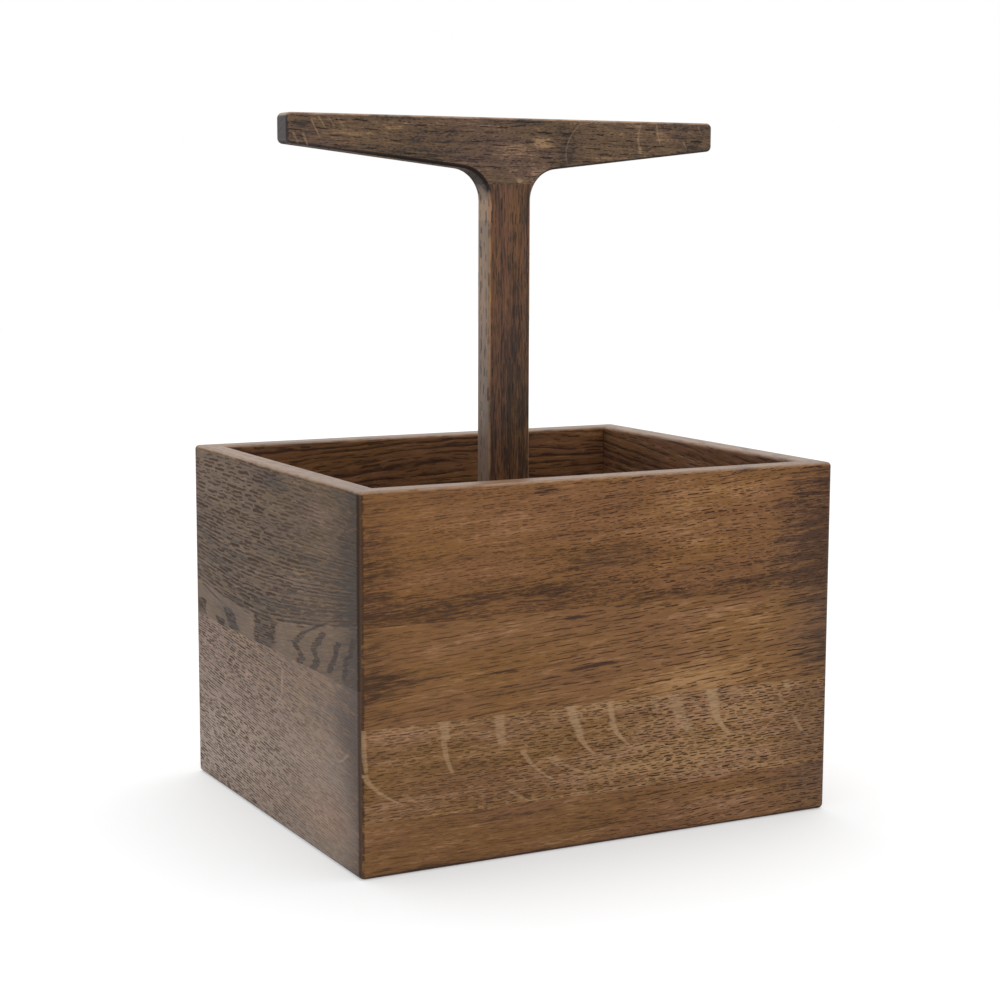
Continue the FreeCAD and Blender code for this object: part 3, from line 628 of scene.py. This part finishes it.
        pores=((9, 1.6, 0.8, 0.15, 0.8), (5, 1.2, 0.5, 0.15, 0.6)), streaks=0.5,
        mottle=0.4, tone=-0.15, tint=(1.07, 0.95, 0.84), side_silver_sheen=0.55, corner_shade=0,
        side_sheen_fade=(293, 283), worn_highlight_tint=(1, 0.85, 0.6), hue=1.5,
        # painted shade on the post's lower sides just below the crossbar
        throat_shade=(-40, -39, 287.5, 290.5),
        patches=(
            # The post darkens towards the box as painted shade; the last two patches are a
            # painted highlight along its left arris
            (190, 0, 60, 30, -0.12), (270, 0, 40, 30, 0.02), (280, -10.6, 7, 1.1, 2.2),
            (240, -10.6, 50, 0.9, 0.6))),
    "floor_front_board": Board(
        X, Y, Z, rise=0.02, wander=1.4, seed=14, rings=(7, 0.5, 0.25)),
    "floor_middle_board": Board(
        X, Y, Z, rise=-0.02, wander=1, seed=15, rings=(9, 0.5, 0.2)),
    "floor_back_board": Board(
        X, Y, Z, rise=0.01, wander=1.8, seed=16, rings=(6, 0.5, 0.28)),
    "spline_oak": Board(X, Z, Y, wander=0.5, seed=17, rings=(5, 0.5, 0.2)),
}


def millimetres(kit):
    """Place on the object in millimetres; the objects' own axes are the frame's."""
    return kit.wire("TexCoord", output="Object") * (MM, MM, MM)


def unit(axis):
    """The frame's own axis of that number, as a vector."""
    return tuple(float(number == axis) for number in range(3))


def opaque(colour):
    return (*colour, 1.0)


def drifted(shifts, amount):
    """White, with each part shifted by its share of the amount."""
    return opaque(1.0 + shift * amount for shift in shifts)


def new_material(name):
    material = bpy.data.materials.new(name)
    material.use_nodes = True
    material.node_tree.nodes.clear()
    return material, NodeKit(material.node_tree)


def add_strokes(kit, place, strokes):
    """One mask of all the given strokes."""
    mask = 0.0
    for top, bottom, start, lean, curve, half, taper, strength in strokes:
        mask = kit.group(
            oak_groups()["stroke"], Place=place, Top=top, Bottom=bottom, Start=start, Lean=lean,
            Curve=curve, Half_Width=half, Taper=taper, Strength=strength, Mask=mask)["Mask"]
    return mask


def add_patch(kit, place, value, u, v, reach, depth, strength, slope=0.0):
    return kit.group(
        oak_groups()["patch"], Place=place, Centre=(u, v, 0.0), Reach=(reach, depth, 1.0),
        Rise=slope, Amount=strength, Tone=value)["Tone"]


def add_patches(kit, place, patches, value):
    """The value with all the given patches laid over it."""
    for patch in patches:
        value = add_patch(kit, place, value, *patch)
    return value


def vessels(kit, board, grain, layer, share):
    """One layer of the board's vessels, in the given share of their cells."""
    length, gap, density, thickness, strength = layer
    lines = kit.group(
        oak_groups()["lines"], Grain=grain, Length=length, Gap=gap, Amount=share * density,
        Thickness=thickness, Bend=board.bend, Jitter=board.jitter, Cover=board.cover)["Lines"]
    return lines * strength


def ragged(kit, place):
    """The place, moved along the grain by a few tenths to millimetres, row by row."""
    rows = kit.swing(place * RAGGED_ROWS, 1.0) * RAGGED_ROW_REACH
    waves = kit.swing(place * RAGGED_WAVES, 1.0) * RAGGED_WAVE_REACH
    return place + kit.join(rows + waves, 0.0, 0.0)


def calm_band(kit, board, place, level):
    """The band without rings, and the clusters of vessels that hatch it."""
    level = level + kit.swing(place * BAND_EDGE, 1.0) * BAND_EDGE_REACH
    calm = kit.smooth(level, board.calm_below + 0.6, board.calm_below - 0.6)
    hatch = kit.smooth(add_strokes(kit, ragged(kit, place), board.hatches), 0.1, 0.9)
    return calm * (1.0 - hatch), hatch


def throat_painted_shade(kit, board, parts):
    """Painted shade on both sides of the left throat, on the faces that look down."""
    x, y, z = parts
    start, end, foot, top = board.throat_shade
    outside = kit.smooth(abs(y) - kit.smooth(x, *UNSHADED_HALF), *THROAT_SHADE_EDGE)
    throat_shade = outside * kit.smooth(x, start, end) * kit.smooth(z, foot, top)
    return throat_shade * kit.smooth(x, *THROAT_SHADE_END)


def dark_lines(kit, board, parts, edges, mitred, under_shade):
    """Glue lines at the board's edges, mitre lines and the painted shade below the crossbar."""
    dark = 0.0
    if edges:
        nearest = kit.math("MINIMUM", *[abs(parts[board.across] - edge) for edge in edges])
        dark = kit.smooth(nearest, *GLUE_LINE)
    if mitred:
        off_mitre = abs(abs(parts[X]) - abs(parts[Y]) - (HALF_LENGTH - HALF_WIDTH))
        dark = kit.most(dark, kit.smooth(off_mitre, *MITRE_LINE))
    if board.throat_shade:
        dark = kit.most(dark, throat_painted_shade(kit, board, parts) * under_shade)
    return dark


def painted_silver_sheen(kit, board, place, parts, facing, tone, calm):
    """Painted sheen, a pale grey over the wood: on parts of the face, and on the board's sides.
    """
    silver_sheen = facing["Face"] * kit.smooth(parts[board.across], *board.silver_sheen)
    silver_sheen = add_patches(kit, place, board.silver_sheen_patches, silver_sheen)
    if board.calm_below:
        silver_sheen = kit.most(silver_sheen, calm * board.calm_silver_sheen)
    silver_sheen = silver_sheen * kit.smooth(tone, *SILVER_SHEEN_TAKES)
    sides = 1.0 - kit.most(facing["Face"], facing["End"])
    sides = sides * kit.smooth(parts[board.along], *board.side_sheen_fade)
    return kit.most(silver_sheen, sides * board.side_silver_sheen)


def oak_material(name, board, tones, edges=None, mitred=False):
    """One board's oak. edges gives the heights of its glued edges."""
    groups = oak_groups()
    material, kit = new_material(name)
    whole_place = millimetres(kit)
    parts = kit.split(whole_place)
    place = kit.join(parts[board.along], parts[board.across], parts[board.into])
    facing = kit.group(groups["facing"], Place=whole_place, Along=unit(board.along),
                       Into=unit(board.into))
    bow, bow_centre, bow_foot, bow_top = board.bow
    laid = kit.group(
        groups["grain"], Place=place, Rise=board.rise, Bow=bow, Bow_Centre=bow_centre,
        Bow_Foot=bow_foot, Bow_Top=bow_top, Wander=board.wander, Ripple=board.ripple,
        Seed=board.seed)
    grain = laid["Grain"]
    spacing, slant, ring_strength = board.rings
    early = kit.group(groups["rings"], Grain=grain, Spacing=spacing, Slant=slant)["Early"]
    tone = add_patches(kit, place, board.patches, board.tone)
    # End grain is darker; the lower side, the lower arris and the upright arrises get painted
    # shade
    for side, shade in (("End", END_SHADE), ("Down", board.under_shade),
                        ("Lower Arris", board.lower_shade),
                        ("Upright Arris", board.corner_shade)):
        tone = tone - facing[side] * shade
    rows = 1.0 - board.follow_rings + early * (2.0 * board.follow_rings)
    if board.ring_fade:
        early = early * kit.smooth(parts[board.across], *board.ring_fade)
    pores, calm = 0.0, 0.0
    if board.calm_below:
        calm, hatch = calm_band(kit, board, place, laid["Level"])
        ringed = 1.0 - kit.most(calm, hatch)
        rows, early = rows * ringed, early * ringed
        tone = tone + calm * BAND_LIGHT - hatch * HATCH_SHADE
        pores = vessels(kit, board, grain, board.hatch_pores, hatch)
    for number, layer in enumerate(board.pores):
        moved = grain + tuple(number * step for step in LAYER_STEP)
        pores = kit.most(pores, vessels(kit, board, moved, layer, rows))
    pores = pores * (1.0 - facing["Up"] * PORES_FILLED_ABOVE)
    pores = pores * kit.smooth(parts[board.along], *board.open_from)
    dressed = kit.group(
        groups["surface"], Grain=grain, Early=early, Ring_Strength=ring_strength,
        Pores=pores, Tone=tone, Streaks=board.streaks, Mottle=board.mottle,
        Fibres=board.fibres, Speckle=board.speckle,
        Fleck=add_strokes(kit, place, board.flecks) * tones.fleck_strength,
        # Silver: the painted sheen
        Silver=painted_silver_sheen(kit, board, place, parts, facing, tone, calm),
        # rubbed wear and a painted highlight on the arrises
        Wear=(facing["Arris"] * (tones.wear_and_highlight * board.wear_and_highlight)
              + facing["Upright Arris"] * (tones.wear_and_highlight * board.upright_wear_highlight)),
        # dark lines: glue lines, mitre lines and the painted shade under the crossbar
        Joint=dark_lines(kit, board, parts, edges, mitred, facing["Under"]),
        Gloss=tones.roughness + facing["Down"] * ROUGHER_BELOW,
        Tint=kit.blend(kit.most(facing["Face"], facing["End"]), WHITE, opaque(board.tint)),
        Golden=drifted(GOLDEN_DRIFT, board.hue), Purple=drifted(PURPLE_DRIFT, board.hue),
        Dark=opaque(tones.dark), Middle=opaque(tones.middle), Light=opaque(tones.light),
        Pore_Colour=opaque(tones.pore), Fleck_Colour=opaque(tones.fleck),
        Silver_Colour=opaque(tones.silver_sheen),
        Worn_Colour=opaque(a * b for a, b in zip(tones.worn, board.worn_highlight_tint)))
    kit.surface(dressed["Height"], tones.pore_depth, {
        "Base Color": dressed["Color"], "Roughness": dressed["Roughness"], "IOR": board.ior})
    return material


def beech_material(tones):
    """Turned beech: fine straight grain and short dark rays."""
    material, kit = new_material("turned_beech")
    place = millimetres(kit)
    rays = kit.smooth(kit.noise(place * (3.0, 3.0, 0.5), 1.0), 0.62, 0.7)
    grain = kit.smooth(kit.noise(place * (0.9, 0.9, 0.05), 3.0, 0.6), 0.3, 0.7)
    wood = kit.blend(grain, opaque(tones.beech_dark), opaque(tones.beech_light))
    wood = kit.blend(rays * 0.6, wood, opaque(tones.beech_dark))
    fibre = kit.noise(place * (2.5, 2.5, 0.2))
    kit.surface(fibre - rays * 0.3, BEECH_FIBRES, {"Base Color": wood, "Roughness": 0.6})
    return material


def steel_material(tones):
    """Turned steel with fine rings left by the tool and a little dust in the hollows."""
    material, kit = new_material("turned_steel")
    place = millimetres(kit)
    across, deep, high = kit.split(place)
    rings = kit.noise(kit.join(across * 0.6, deep * 0.6, high * 5.0))
    dust = kit.smooth(kit.noise(place * (0.8, 0.8, 0.8), 3.0, 0.65), 0.4, 0.7)
    steel = kit.blend(dust, opaque(tones.steel), opaque(tones.steel_dull))
    kit.surface(rings, TOOL_RINGS, {
        "Base Color": steel, "Metallic": 1.0, "Roughness": tones.steel_roughness})
    return material


def dress(node_name, material):
    """Puts the material on every slot of a CAD node."""
    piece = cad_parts[node_name]
    if not piece.material_slots:
        piece.data.materials.append(material)
    for material_slot in piece.material_slots:
        material_slot.material = material


# Settings


def colour(name, description, default):
    return FloatVectorProperty(name=name, description=description, default=default,
                               size=3, subtype="COLOR", min=0.0, max=1.0)


def share(name, description, default):
    return FloatProperty(name=name, description=description, default=default,
                         min=0.0, max=1.0, subtype="FACTOR")


def measure(name, description, default, **kind):
    return FloatProperty(name=name, description=description, default=default, **kind)


def section(kind, name):
    return PointerProperty(type=kind, name=name, description=kind.__doc__)


class OakTones:
    """Tones and finish that every lot of oak has."""

    dark: colour("Dark", "Darkest smoked wood", (0.055, 0.026, 0.012))
    middle: colour("Middle", "Common tone of the wood", (0.172, 0.080, 0.027))
    light: colour("Light", "Lightest wood", (0.310, 0.165, 0.074))
    pore: colour("Pores", "Stained open pores and glue lines", (0.036, 0.015, 0.006))
    fleck: colour("Ray flecks", "Ray flecks on a quarter sawn face", (0.340, 0.195, 0.095))
    # Colour of the painted sheen, a pale grey
    silver_sheen: colour("Silvered wood", "Wood that has lost its oil", (0.235, 0.178, 0.138))
    # Rubbed wear with a painted highlight on the arrises
    worn: colour("Worn arris", "Rubbed wood on the arrises", (0.330, 0.220, 0.150))
    fleck_strength: share("Fleck strength", "How clearly the ray flecks show", 0.75)
    wear_and_highlight: share("Wear", "How far the arrises are rubbed", 0.35)
    roughness: share("Roughness", "Roughness of the oiled surface", 0.34)
    pore_depth: measure("Pore depth", "Depth of the open pores", 0.00012,
                        min=0.0, unit="LENGTH", precision=5)


class TOTE_PG_walls(OakTones, PropertyGroup):
    """Oak of the walls"""


class TOTE_PG_handle(OakTones, PropertyGroup):
    """Oak of the crossbar and the post, greyer and rubbed by the hand"""

    dark: colour("Dark", "Darkest smoked wood", (0.040, 0.028, 0.021))
    middle: colour("Middle", "Common tone of the wood", (0.128, 0.070, 0.036))
    light: colour("Light", "Lightest wood", (0.290, 0.160, 0.074))
    pore: colour("Pore", "Open pores", (0.018, 0.011, 0.008))
    roughness: share("Roughness", "Roughness of the oiled surface", 0.30)


class TOTE_PG_floor(OakTones, PropertyGroup):
    """Oak of the floor, with less oil on it"""

    middle: colour("Middle", "Common tone of the wood", (0.150, 0.078, 0.030))
    roughness: share("Roughness", "Roughness of the oiled surface", 0.5)


class TOTE_PG_fixings(PropertyGroup):
    """Dowels and screws"""

    beech_dark: colour("Dark beech", "Late wood and rays of the dowels", (0.380, 0.210, 0.110))
    beech_light: colour("Light beech", "Common tone of the dowels", (0.600, 0.400, 0.230))
    steel: colour("Steel", "Bright steel of the screws", (0.560, 0.550, 0.530))
    steel_dull: colour("Dull steel", "Dusty steel of the screws", (0.300, 0.290, 0.270))
    steel_roughness: share("Steel roughness", "Roughness of the turned steel", 0.35)


class TOTE_PG_stage(PropertyGroup):
    """Camera, floor and light"""

    azimuth: measure("Azimuth", "Camera's angle round the object", math.radians(-27.87),
                     subtype="ANGLE")
    elevation: measure("Elevation", "Camera's angle above the floor", math.radians(7.79),
                       subtype="ANGLE")
    roll: measure("Roll", "Camera's turn about its own line of sight", math.radians(0.20),
                  subtype="ANGLE")
    distance: measure("Distance", "From the camera to its aim", 0.998, unit="LENGTH")
    aim: FloatVectorProperty(name="Aim", description="Point that the camera looks at",
                             default=(-0.00166, 0.0, 0.1425), size=3, subtype="XYZ",
                             unit="LENGTH")
    lens: measure("Lens", "Focal length on a 36 mm sensor, in mm", 74.95, min=1.0)
    sky: measure("Sky", "Strength of the even light all round", 1.0, min=0.0)
    lamp_strength: measure("Lamp", "Strength of the soft lamp from behind", 2.0, min=0.0)
    lamp_spread: measure("Lamp spread", "How wide the soft lamp looks", math.radians(55.0),
                         subtype="ANGLE")
    lamp_from: FloatVectorProperty(name="Lamp from", description="Direction that the lamp is in",
                                   default=(0.1, 0.22, 0.95), size=3, subtype="DIRECTION")
    floor_size: measure("Floor", "Side of the floor", 8.0, min=1.0, unit="LENGTH")
    floor_glow: share("Floor glow", "Share of the floor's white that no shadow darkens", 0.40)
    floor_shade: share("Floor shade", "Share of the floor's white that shadows darken", 0.44)
    floor_bounce: share("Floor bounce", "How pale the floor is to the light it throws up", 0.8)


class TOTE_PG_settings(PropertyGroup):
    """All settings of the oak tote"""

    walls: section(TOTE_PG_walls, "Walls")
    handle: section(TOTE_PG_handle, "Handle")
    floor: section(TOTE_PG_floor, "Floor")
    fixings: section(TOTE_PG_fixings, "Fixings")
    stage: section(TOTE_PG_stage, "Stage")


# Operators


def seen_plainly(kit):
    """1 for what the camera sees, by itself, in a reflection or through glass, and else 0."""
    path = kit.add("LightPath").outputs
    return kit.most(path["Is Camera Ray"], path["Is Glossy Ray"], path["Is Transmission Ray"])


def placed(name, data):
    """A new object in the scene with that data."""
    item = bpy.data.objects.new(name, data)
    bpy.context.scene.collection.objects.link(item)
    return item


class TOTE_OT_stage(Operator):
    """Set up the camera, the pale floor and the soft light"""

    bl_idname = "oak_tote.stage"
    bl_label = "Stage"

    def execute(self, context):
        look = context.scene.oak_tote.stage
        self.set_camera(context, look)
        self.set_sky(context, look)
        self.lay_floor(look)
        self.hang_lamp(look)
        context.scene.view_settings.view_transform = "Standard"
        return {"FINISHED"}

    def set_camera(self, context, look):
        data = bpy.data.cameras.new("photo_camera")
        data.lens = look.lens
        data.sensor_width = SENSOR_WIDTH
        data.clip_start, data.clip_end = CLIP_RANGE
        camera = placed("photo_camera", data)
        back = Vector((math.sin(look.azimuth) * math.cos(look.elevation),
                       -math.cos(look.azimuth) * math.cos(look.elevation),
                       math.sin(look.elevation)))
        right = Vector((0.0, 0.0, 1.0)).cross(back).normalized()
        place = Matrix.Translation(Vector(look.aim) + back * look.distance)
        turn = Matrix((right, back.cross(right), back)).transposed().to_4x4()
        camera.matrix_world = place @ turn @ Matrix.Rotation(look.roll, 4, "Z")
        context.scene.camera = camera

    def set_sky(self, context, look):
        world = bpy.data.worlds.new("white_studio")
        world.use_nodes = True
        world.node_tree.nodes.clear()
        kit = NodeKit(world.node_tree)
        strength = kit.smooth(seen_plainly(kit), 0.0, 1.0, look.sky, 1.0)
        background = kit.wire("Background", {"Color": WHITE, "Strength": strength})
        kit.add("OutputWorld", {"Surface": background})
        context.scene.world = world

    def lay_floor(self, look):
        half = look.floor_size / 2.0
        mesh = bpy.data.meshes.new("floor")
        mesh.from_pydata([(-half, -half, 0.0), (half, -half, 0.0), (half, half, 0.0),
                          (-half, half, 0.0)], [], [(0, 1, 2, 3)])
        material, kit = new_material("pale_floor")
        glow = kit.wire("Emission", {"Color": WHITE, "Strength": look.floor_glow})
        shaded = kit.wire("BsdfDiffuse", {"Color": opaque((look.floor_shade,) * 3)})
        shown = kit.wire("AddShader", {0: glow, 1: shaded})
        plain = kit.wire("BsdfDiffuse", {"Color": opaque((look.floor_bounce,) * 3)})
        surface = kit.wire("MixShader", {0: seen_plainly(kit), 1: plain, 2: shown})
        kit.add("OutputMaterial", {"Surface": surface})
        mesh.materials.append(material)
        placed("floor", mesh)

    def hang_lamp(self, look):
        data = bpy.data.lights.new("soft_lamp", "SUN")
        data.energy = look.lamp_strength
        data.angle = look.lamp_spread
        lamp = placed("soft_lamp", data)
        lamp.location = Vector(look.lamp_from) * LAMP_DISTANCE
        lamp.rotation_euler = Vector(look.lamp_from).to_track_quat("Z", "Y").to_euler()


class BoardStep:
    """Dresses the boards in names in one lot of oak. Glued ones show their glue lines."""

    names = ()
    lot = "walls"
    glued = mitred = True

    def execute(self, context):
        tones = getattr(context.scene.oak_tote, self.lot)
        for name in self.names:
            board, edges = BOARDS[name], None
            if self.glued:
                edges = [corner[board.across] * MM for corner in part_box(name)]
            dress(name, oak_material(name + "_oak", board, tones, edges, self.mitred))
        return {"FINISHED"}


class TOTE_OT_front_wall(BoardStep, Operator):
    """Finish the four boards of the front wall"""

    bl_idname = "oak_tote.front_wall"
    bl_label = "Front wall"
    names = ("front_base_board", "front_ray_board", "front_upper_board", "front_rim_board")


class TOTE_OT_end_walls(BoardStep, Operator):
    """Finish the boards of the left and right ends"""

    bl_idname = "oak_tote.end_walls"
    bl_label = "End walls"
    names = ("left_lower_board", "left_rim_board", "right_lower_board", "right_rim_board")


class TOTE_OT_back_wall(BoardStep, Operator):
    """Finish the three boards of the back wall"""

    bl_idname = "oak_tote.back_wall"
    bl_label = "Back wall"
    names = ("back_base_board", "back_middle_board", "back_rim_board")


class TOTE_OT_floor_boards(BoardStep, Operator):
    """Finish the three floor boards"""

    bl_idname = "oak_tote.floor_boards"
    bl_label = "Floor boards"
    names = ("floor_front_board", "floor_middle_board", "floor_back_board")
    lot = "floor"
    mitred = False


class TOTE_OT_handle(BoardStep, Operator):
    """Finish the crossbar and the post of the handle"""

    bl_idname = "oak_tote.handle"
    bl_label = "Handle"
    names = ("handle_crossbar", "handle_post")
    lot = "handle"
    glued = mitred = False


class FixingStep:
    """Dresses the fixings in names in one material."""

    names = ()

    def execute(self, context):
        material = self.material(context.scene.oak_tote)
        for name in self.names:
            dress(name, material)
        return {"FINISHED"}


class TOTE_OT_splines(FixingStep, Operator):
    """Finish the corner splines in sawn oak"""

    bl_idname = "oak_tote.splines"
    bl_label = "Corner splines"
    names = ("front_left_spline", "front_right_spline", "back_right_spline", "back_left_spline")

    def material(self, look):
        return oak_material("sawn_oak", BOARDS["spline_oak"], look.floor)


class TOTE_OT_dowels(FixingStep, Operator):
    """Finish the two beech dowels between crossbar and post"""

    bl_idname = "oak_tote.dowels"
    bl_label = "Dowels"
    names = ("handle_dowels",)

    def material(self, look):
        return beech_material(look.fixings)


class TOTE_OT_screws(FixingStep, Operator):
    """Finish the two steel screws that hold the post"""

    bl_idname = "oak_tote.screws"
    bl_label = "Screws"
    names = ("handle_screws",)

    def material(self, look):
        return steel_material(look.fixings)


class TOTE_PT_panel(Panel):
    """Lists the steps and the settings of the oak tote"""

    bl_idname = "TOTE_PT_panel"
    bl_label = "Oak tote"
    bl_space_type = "VIEW_3D"
    bl_region_type = "UI"
    bl_category = "Oak tote"

    def draw(self, context):
        layout = self.layout
        for step in STEPS:
            layout.operator(step.bl_idname)
        for name in ("walls", "handle", "floor", "fixings", "stage"):
            part = getattr(context.scene.oak_tote, name)
            box = layout.box()
            box.label(text=name.capitalize())
            for key in part.bl_rna.properties.keys():
                if key not in ("rna_type", "name"):
                    box.prop(part, key)


STEPS = (TOTE_OT_stage, TOTE_OT_front_wall, TOTE_OT_end_walls, TOTE_OT_back_wall,
         TOTE_OT_floor_boards, TOTE_OT_handle, TOTE_OT_splines, TOTE_OT_dowels,
         TOTE_OT_screws)
CLASSES = (TOTE_PG_walls, TOTE_PG_handle, TOTE_PG_floor, TOTE_PG_fixings,
           TOTE_PG_stage, TOTE_PG_settings, *STEPS, TOTE_PT_panel)


def register():
    for part in CLASSES:
        bpy.utils.register_class(part)
    bpy.types.Scene.oak_tote = PointerProperty(type=TOTE_PG_settings)


def unregister():
    del bpy.types.Scene.oak_tote
    for part in reversed(CLASSES):
        bpy.utils.unregister_class(part)


def main():
    register()
    for step in STEPS:
        family, name = step.bl_idname.split(".")
        getattr(getattr(bpy.ops, family), name)()


if __name__ == "__main__":
    main()
